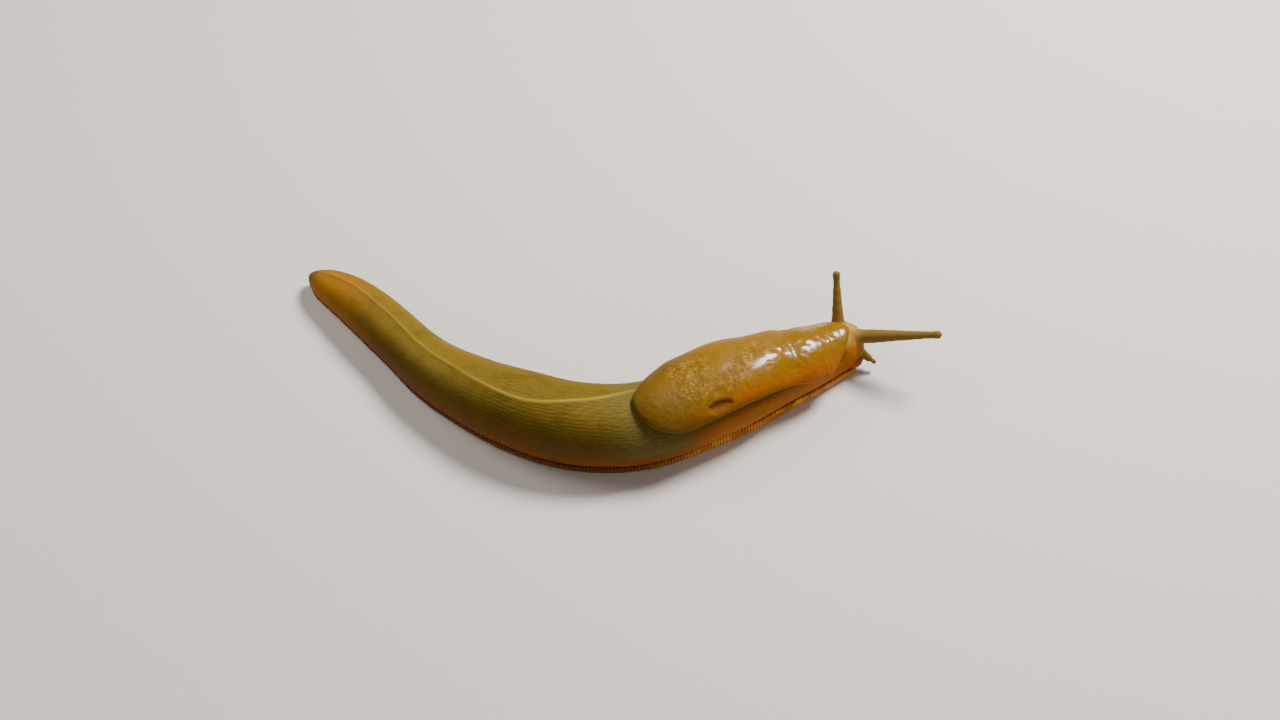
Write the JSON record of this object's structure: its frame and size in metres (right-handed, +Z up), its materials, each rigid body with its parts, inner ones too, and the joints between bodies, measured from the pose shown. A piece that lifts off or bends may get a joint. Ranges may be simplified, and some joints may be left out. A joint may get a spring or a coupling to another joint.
{
  "type": "banana slug",
  "caption": "Long soft-bodied slug lying in a shallow bend, with a saddle-shaped mantle, a keeled tail, a ribbed foot fringe and raised feelers.",
  "frame": {"origin": "on the flat sole, on the centreline of the body below the middle of its bend", "axes": "+X towards the head along the longest extent, +Y towards the inside of the bend, +Z up from the floor to the back"},
  "size_m": [0.139, 0.0533, 0.0166],
  "materials": {
    "skin_tail": "wet, glossy",
    "skin_back": "wet, glossy, finely ridged",
    "skin_flank": "wet, glossy",
    "skin_head": "wet, glossy",
    "skin_foot": "wet, ribbed",
    "skin_mantle": "wet, glossy, finely grained",
    "skin_feeler": "wet, slightly clear",
    "skin_lip": "wet, glossy",
    "eye": "wet, glossy"
  },
  "bodies": {
    "root": {"tail": "skin_tail", "trunk_rear": "skin_back", "trunk_middle": "skin_back", "trunk_front": "skin_back", "neck": "skin_flank", "head": "skin_head", "foot_tail": "skin_foot", "foot_rear": "skin_foot", "foot_middle": "skin_foot", "foot_front": "skin_foot", "mantle": "skin_mantle", "optic_tentacle_right": "skin_feeler", "optic_tentacle_left": "skin_feeler", "oral_tentacle_right": "skin_feeler", "oral_tentacle_left": "skin_feeler", "eye_right": "eye", "eye_left": "eye", "lip_right": "skin_lip", "lip_left": "skin_lip", "lip_upper": "skin_lip"}
  },
  "joints": []
}
